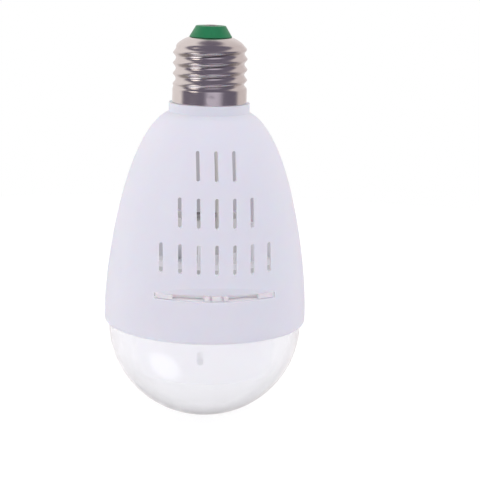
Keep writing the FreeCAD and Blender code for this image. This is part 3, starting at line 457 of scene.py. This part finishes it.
shellSizes = {
    "radius": 13.05, "wall": 0.35, "pitch": 3.629, "depth": 1.05, "fullness": 0.7,
    "crestHeight": 8.25,                   # first crest on the +X side, and the helix rises from there
    "grooveStart": (4.6, 6.6),             # the groove grows deeper between these heights
    "grooveEnd": (20.8, 17.8),             # and runs out between these
    "shoulder": ((13.05, 18.2), (12.6, 19.9), (9.7, 22.3), (7.0, 22.866)),
    "rowPitch": 0.2, "steps": 240, "shoulderRows": 22,
    "slopeStep": 0.01,                     # how far along the shoulder its slope is taken
    "crimps": 6, "crimpFirst": -93.5, "crimpHeight": 2.3, "crimpRadius": 1.7, "crimpDepth": 0.12,
    "crimpFall": 1.5,                      # how softly a crimp mark runs out
}


def smoothStep(value, start, end):
    t = min(max((value - start) / (end - start), 0.0), 1.0)
    return t * t * (3 - 2 * t)


def bezier(points, t):
    a, b, c, d = [Vector(p) for p in points]
    s = 1 - t
    return a * s ** 3 + b * 3 * s * s * t + c * 3 * s * t * t + d * t ** 3


def shellPoint(values, angle, radius, height):
    phase = (height - values["crestHeight"]) / values["pitch"] - angle / (2 * math.pi)
    groove = (0.5 - 0.5 * math.cos(2 * math.pi * phase)) ** values["fullness"]
    share = smoothStep(height, *values["grooveStart"]) * smoothStep(height, *values["grooveEnd"])
    radius -= values["depth"] * groove * share
    for number in range(values["crimps"]):                    # punched marks round the skirt
        across = angle - math.radians(values["crimpFirst"] + 360 / values["crimps"] * number)
        across = (across + math.pi) % (2 * math.pi) - math.pi
        away = math.hypot(across * values["radius"], height - values["crimpHeight"]) / values["crimpRadius"]
        if away < 1:
            radius -= values["crimpDepth"] * (1 - away ** 2) ** values["crimpFall"]
    return (radius * math.cos(angle), radius * math.sin(angle), height)


def buildScrewShell(values, material):
    straight = values["shoulder"][0][1]
    rows = int(straight / values["rowPitch"])
    outside = [(values["radius"], straight * i / rows, 0.0) for i in range(rows)]
    for i in range(values["shoulderRows"] + 1):
        t = i / values["shoulderRows"]
        spot = bezier(values["shoulder"], t)
        later = min(t + values["slopeStep"], 1.0)
        slope = bezier(values["shoulder"], later) - bezier(values["shoulder"], later - values["slopeStep"])
        lean = math.atan2(-slope.x, slope.y)                  # how far the sheet has turned inward
        outside.append((spot.x, spot.y, lean))
    wall = values["wall"]
    inside = [(r - wall * math.cos(lean), z - wall * math.sin(lean), lean) for r, z, lean in reversed(outside)]
    vertices = []
    for r, z, lean in outside + inside:
        for step in range(values["steps"]):
            angle = 2 * math.pi * step / values["steps"]
            vertices.append(shellPoint(values, angle, r, z))
    faces = turnedFaces(len(outside) + len(inside), values["steps"])
    return addPiece("screwShell", vertices, faces, material)


screwShell = buildScrewShell(shellSizes, finish(nickel))
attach(screwShell, "lamp")
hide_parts("screw_shell")

insulatorSizes = {
    "outline": ((1.7, 26.416), (2.3, 26.416), (2.3, 26.716), (5.2, 26.716), (7.5, 22.866), (6.9, 22.866),
                (6.9, 22.066), (8.6, 22.066), (8.6, 20.666), (1.7, 20.666)),
    "steps": 96, "edge": 0.7, "edgeSteps": 3,
    "edgeAngle": 25,                       # degrees, only sharper edges are rounded
}


def buildInsulator(values, material):
    vertices = []
    for r, z in values["outline"]:
        for step in range(values["steps"]):
            angle = 2 * math.pi * step / values["steps"]
            vertices.append((r * math.cos(angle), r * math.sin(angle), z))
    faces = [tuple(reversed(face)) for face in turnedFaces(len(values["outline"]), values["steps"])]
    piece = addPiece("capInsulator", vertices, faces, material)
    bevel = piece.modifiers.new("softEdges", "BEVEL")
    bevel.width = values["edge"] * mm
    bevel.segments = values["edgeSteps"]
    bevel.limit_method = "ANGLE"
    bevel.angle_limit = math.radians(values["edgeAngle"])
    bevel.harden_normals = True
    return piece


capInsulator = buildInsulator(insulatorSizes, finish(phenolic))
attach(capInsulator, "lamp")
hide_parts("cap_insulator")
print("screw cap built")


# Floor, camera and light

floorSizes = {
    "radius": 450.0, "steps": 96, "level": cadBox[0].z / mm - 0.2,
    "colour": "#f8f8f8", "white": "#ffffff", "whiteStrength": 1.12,
    "whiteShare": 0.78,                    # the rest keeps the object's shadow
}


def buildFloor(values):
    # White to the camera, with the object's shadow kept. Not seen from below, and mirrors see the room instead
    material, tree = newMaterial("paleFloor")
    soft = addNode(tree, "ShaderNodeBsdfDiffuse", {"Color": toLinear(values["colour"])})
    white = addNode(tree, "ShaderNodeEmission", {"Color": toLinear(values["white"]),
                                                 "Strength": values["whiteStrength"]})
    clear = addNode(tree, "ShaderNodeBsdfTransparent", {})
    ray = addNode(tree, "ShaderNodeLightPath", {})
    seen = addNode(tree, "ShaderNodeMath", {"operation": "MAXIMUM"}, [
        (0, ray.outputs["Is Camera Ray"]), (1, ray.outputs["Is Transmission Ray"])])
    share = addNode(tree, "ShaderNodeMath", {"operation": "MULTIPLY", 1: values["whiteShare"]},
                    [(0, seen.outputs["Value"])])
    mixed = addNode(tree, "ShaderNodeMixShader", {}, [
        (0, share.outputs["Value"]), (1, soft.outputs["BSDF"]), (2, white.outputs["Emission"])])
    side = addNode(tree, "ShaderNodeNewGeometry", {})
    away = addNode(tree, "ShaderNodeMath", {"operation": "MAXIMUM"}, [
        (0, side.outputs["Backfacing"]), (1, ray.outputs["Is Glossy Ray"])])
    final = addNode(tree, "ShaderNodeMixShader", {}, [
        (0, away.outputs["Value"]), (1, mixed.outputs["Shader"]), (2, clear.outputs["BSDF"])])
    addNode(tree, "ShaderNodeOutputMaterial", {}, [("Surface", final.outputs["Shader"])])
    rim = []
    for step in range(values["steps"]):
        angle = 2 * math.pi * step / values["steps"]
        rim.append((values["radius"] * math.cos(angle), values["radius"] * math.sin(angle), values["level"]))
    return addPiece("floor", rim, [tuple(range(values["steps"]))], material)


floor = buildFloor(floorSizes)

cameraSizes = {
    "target": (0.0, 0.0, -49.1), "distance": 535.0, "azimuth": -6.5, "elevation": 11.7, "roll": 1.5,
    "sensor": 36.0, "lens": 112.15,
    "aside": 12.03,                        # the object stands left of the middle, so the camera looks past it
}


def cameraBack(azimuth, elevation):
    # From the object towards a place round it. Azimuth 0 is the front, and 90 the right side
    a, e = math.radians(azimuth), math.radians(elevation)
    return Vector((math.sin(a) * math.cos(e), -math.cos(a) * math.cos(e), math.sin(e)))


def buildCamera(values):
    data = bpy.data.cameras.new("camera")
    data.sensor_width = values["sensor"]
    data.lens = values["lens"]
    camera = bpy.data.objects.new("camera", data)
    bpy.context.scene.collection.objects.link(camera)
    back = cameraBack(values["azimuth"], values["elevation"])
    target = Vector(values["target"]) * mm
    right = Vector((math.cos(math.radians(values["azimuth"])), math.sin(math.radians(values["azimuth"])), 0))
    camera.location = target + back * values["distance"] * mm
    look = target + right * values["aside"] * mm - camera.location
    camera.rotation_mode = "QUATERNION"
    turned = Quaternion((0, 0, 1), math.radians(values["roll"]))
    camera.rotation_quaternion = look.to_track_quat("-Z", "Y") @ turned
    bpy.context.scene.camera = camera


buildCamera(cameraSizes)

lightSizes = {
    "aim": (0.0, 0.0, -50.0),
    "softboxes": {
        # azimuth, elevation, distance, width, height, watts, colour
        "keySoftbox": (-60.0, 26.0, 800.0, 220.0, 420.0, 1.4, "#fffdfb"),
        "fillSoftbox": (60.0, 20.0, 900.0, 400.0, 500.0, 1.25, "#fbfaff"),
        "topSoftbox": (20.0, 80.0, 900.0, 500.0, 500.0, 1.7, "#ffffff"),
    },
}


def buildLights(values):
    aim = Vector(values["aim"]) * mm
    for name, (azimuth, elevation, distance, width, height, watts, colour) in values["softboxes"].items():
        data = bpy.data.lights.new(name, "AREA")
        data.shape = "RECTANGLE"
        data.size = width * mm
        data.size_y = height * mm
        data.energy = watts
        data.color = toLinear(colour)[:3]
        lamp = bpy.data.objects.new(name, data)
        bpy.context.scene.collection.objects.link(lamp)
        lamp.visible_glossy = False        # polished surfaces mirror the patches of the surround instead
        lamp.location = aim + cameraBack(azimuth, elevation) * distance * mm
        lamp.rotation_mode = "QUATERNION"
        lamp.rotation_quaternion = (aim - lamp.location).to_track_quat("-Z", "Y")


buildLights(lightSizes)

worldSizes = {
    "soft": {                              # what lights the object: bright at the sides, dimmer in front
        "azimuth": -6.5, "side": "#fffdfb", "sideStrength": 0.95, "front": "#f2f2fd", "frontStrength": 0.62,
        "edge": (0.1, 0.32),               # cosines where the front starts and is full
    },
    "mirrorSide": ("#f2ecec", 1.0),        # what polished surfaces see round the object
    "mirrorPatches": (
        # azimuth, elevation, cosines where the patch starts and is full, colour, strength, whether only the
        # compass direction counts
        (100.0, 0.0, 0.3, 0.95, "#dcd3d3", 1.0, True),        # greyer wall on the right
        (0.0, -90.0, 0.4, 0.72, "#857e7c", 1.0, False),       # shaded table all round
        (-5.0, 0.0, -0.2, 0.04, "#6f697a", 1.0, True),        # dim side of the room, in front of the object
        (-2.5, -66.0, 0.74, 0.92, "#2e2b31", 1.0, False),     # dark floor there
        (172.0, 74.0, 0.925, 0.975, "#6f6778", 1.0, False),   # dim patch overhead
        (7.0, 5.0, 0.83, 0.97, "#cdc7d7", 1.0, False),        # pale opening in the dim side
        (-58.0, 19.0, 0.962, 0.986, "#fff6ee", 2.4, False),   # key softbox
        (-64.0, -42.0, 0.94, 0.98, "#fbfaff", 1.8, False),    # and its reflection in the table
    ),
    "background": "#ffffff",
}


def buildWorld(values):
    # White behind the object, a surround that is dimmer in front to light it, and patches for polished metal
    world = bpy.data.worlds.new("studioSurround")
    bpy.context.scene.world = world
    world.use_nodes = True
    tree = world.node_tree
    tree.nodes.clear()
    way = addNode(tree, "ShaderNodeTexCoord", {}).outputs["Generated"]
    flat = addNode(tree, "ShaderNodeVectorMath", {"operation": "MULTIPLY", 1: (1, 1, 0)}, [(0, way)])
    compass = addNode(tree, "ShaderNodeVectorMath", {"operation": "NORMALIZE"}, [(0, flat.outputs["Vector"])])

    def shade(colour, strength):
        return tuple(c * strength for c in toLinear(colour))

    def patch(azimuth, elevation, start, full, source=way):
        towards = cameraBack(azimuth, elevation)
        facing = addNode(tree, "ShaderNodeVectorMath", {"operation": "DOT_PRODUCT", 1: tuple(towards)}, [(0, source)])
        return addNode(tree, "ShaderNodeMapRange", {
            "interpolation_type": "SMOOTHSTEP", "From Min": start, "From Max": full,
        }, [("Value", facing.outputs["Value"])]).outputs["Result"]

    light = values["soft"]
    soft = addNode(tree, "ShaderNodeMix", {
        "data_type": "RGBA",
        6: shade(light["side"], light["sideStrength"]), 7: shade(light["front"], light["frontStrength"]),
    }, [(0, patch(light["azimuth"], 0, *light["edge"]))])
    mirrored = None
    for azimuth, elevation, start, full, colour, strength, level in values["mirrorPatches"]:
        source = compass.outputs["Vector"] if level else way
        layer = addNode(tree, "ShaderNodeMix", {
            "data_type": "RGBA", 6: shade(*values["mirrorSide"]), 7: shade(colour, strength),
        }, [(0, patch(azimuth, elevation, start, full, source))])
        if mirrored:
            tree.links.new(mirrored, layer.inputs[6])
        mirrored = layer.outputs[2]
    ray = addNode(tree, "ShaderNodeLightPath", {})
    lit = addNode(tree, "ShaderNodeMix", {"data_type": "RGBA"}, [
        (0, ray.outputs["Is Glossy Ray"]), (6, soft.outputs[2]), (7, mirrored)])
    seen = addNode(tree, "ShaderNodeMath", {"operation": "MAXIMUM"}, [
        (0, ray.outputs["Is Camera Ray"]), (1, ray.outputs["Is Transmission Ray"])])
    final = addNode(tree, "ShaderNodeMix", {"data_type": "RGBA", 7: toLinear(values["background"])}, [
        (0, seen.outputs["Value"]), (6, lit.outputs[2])])
    shine = addNode(tree, "ShaderNodeBackground", {"Strength": 1.0}, [("Color", final.outputs[2])])
    addNode(tree, "ShaderNodeOutputWorld", {}, [("Surface", shine.outputs["Background"])])


buildWorld(worldSizes)
bpy.context.scene.view_settings.view_transform = "Standard"
print("floor, camera and lights set")
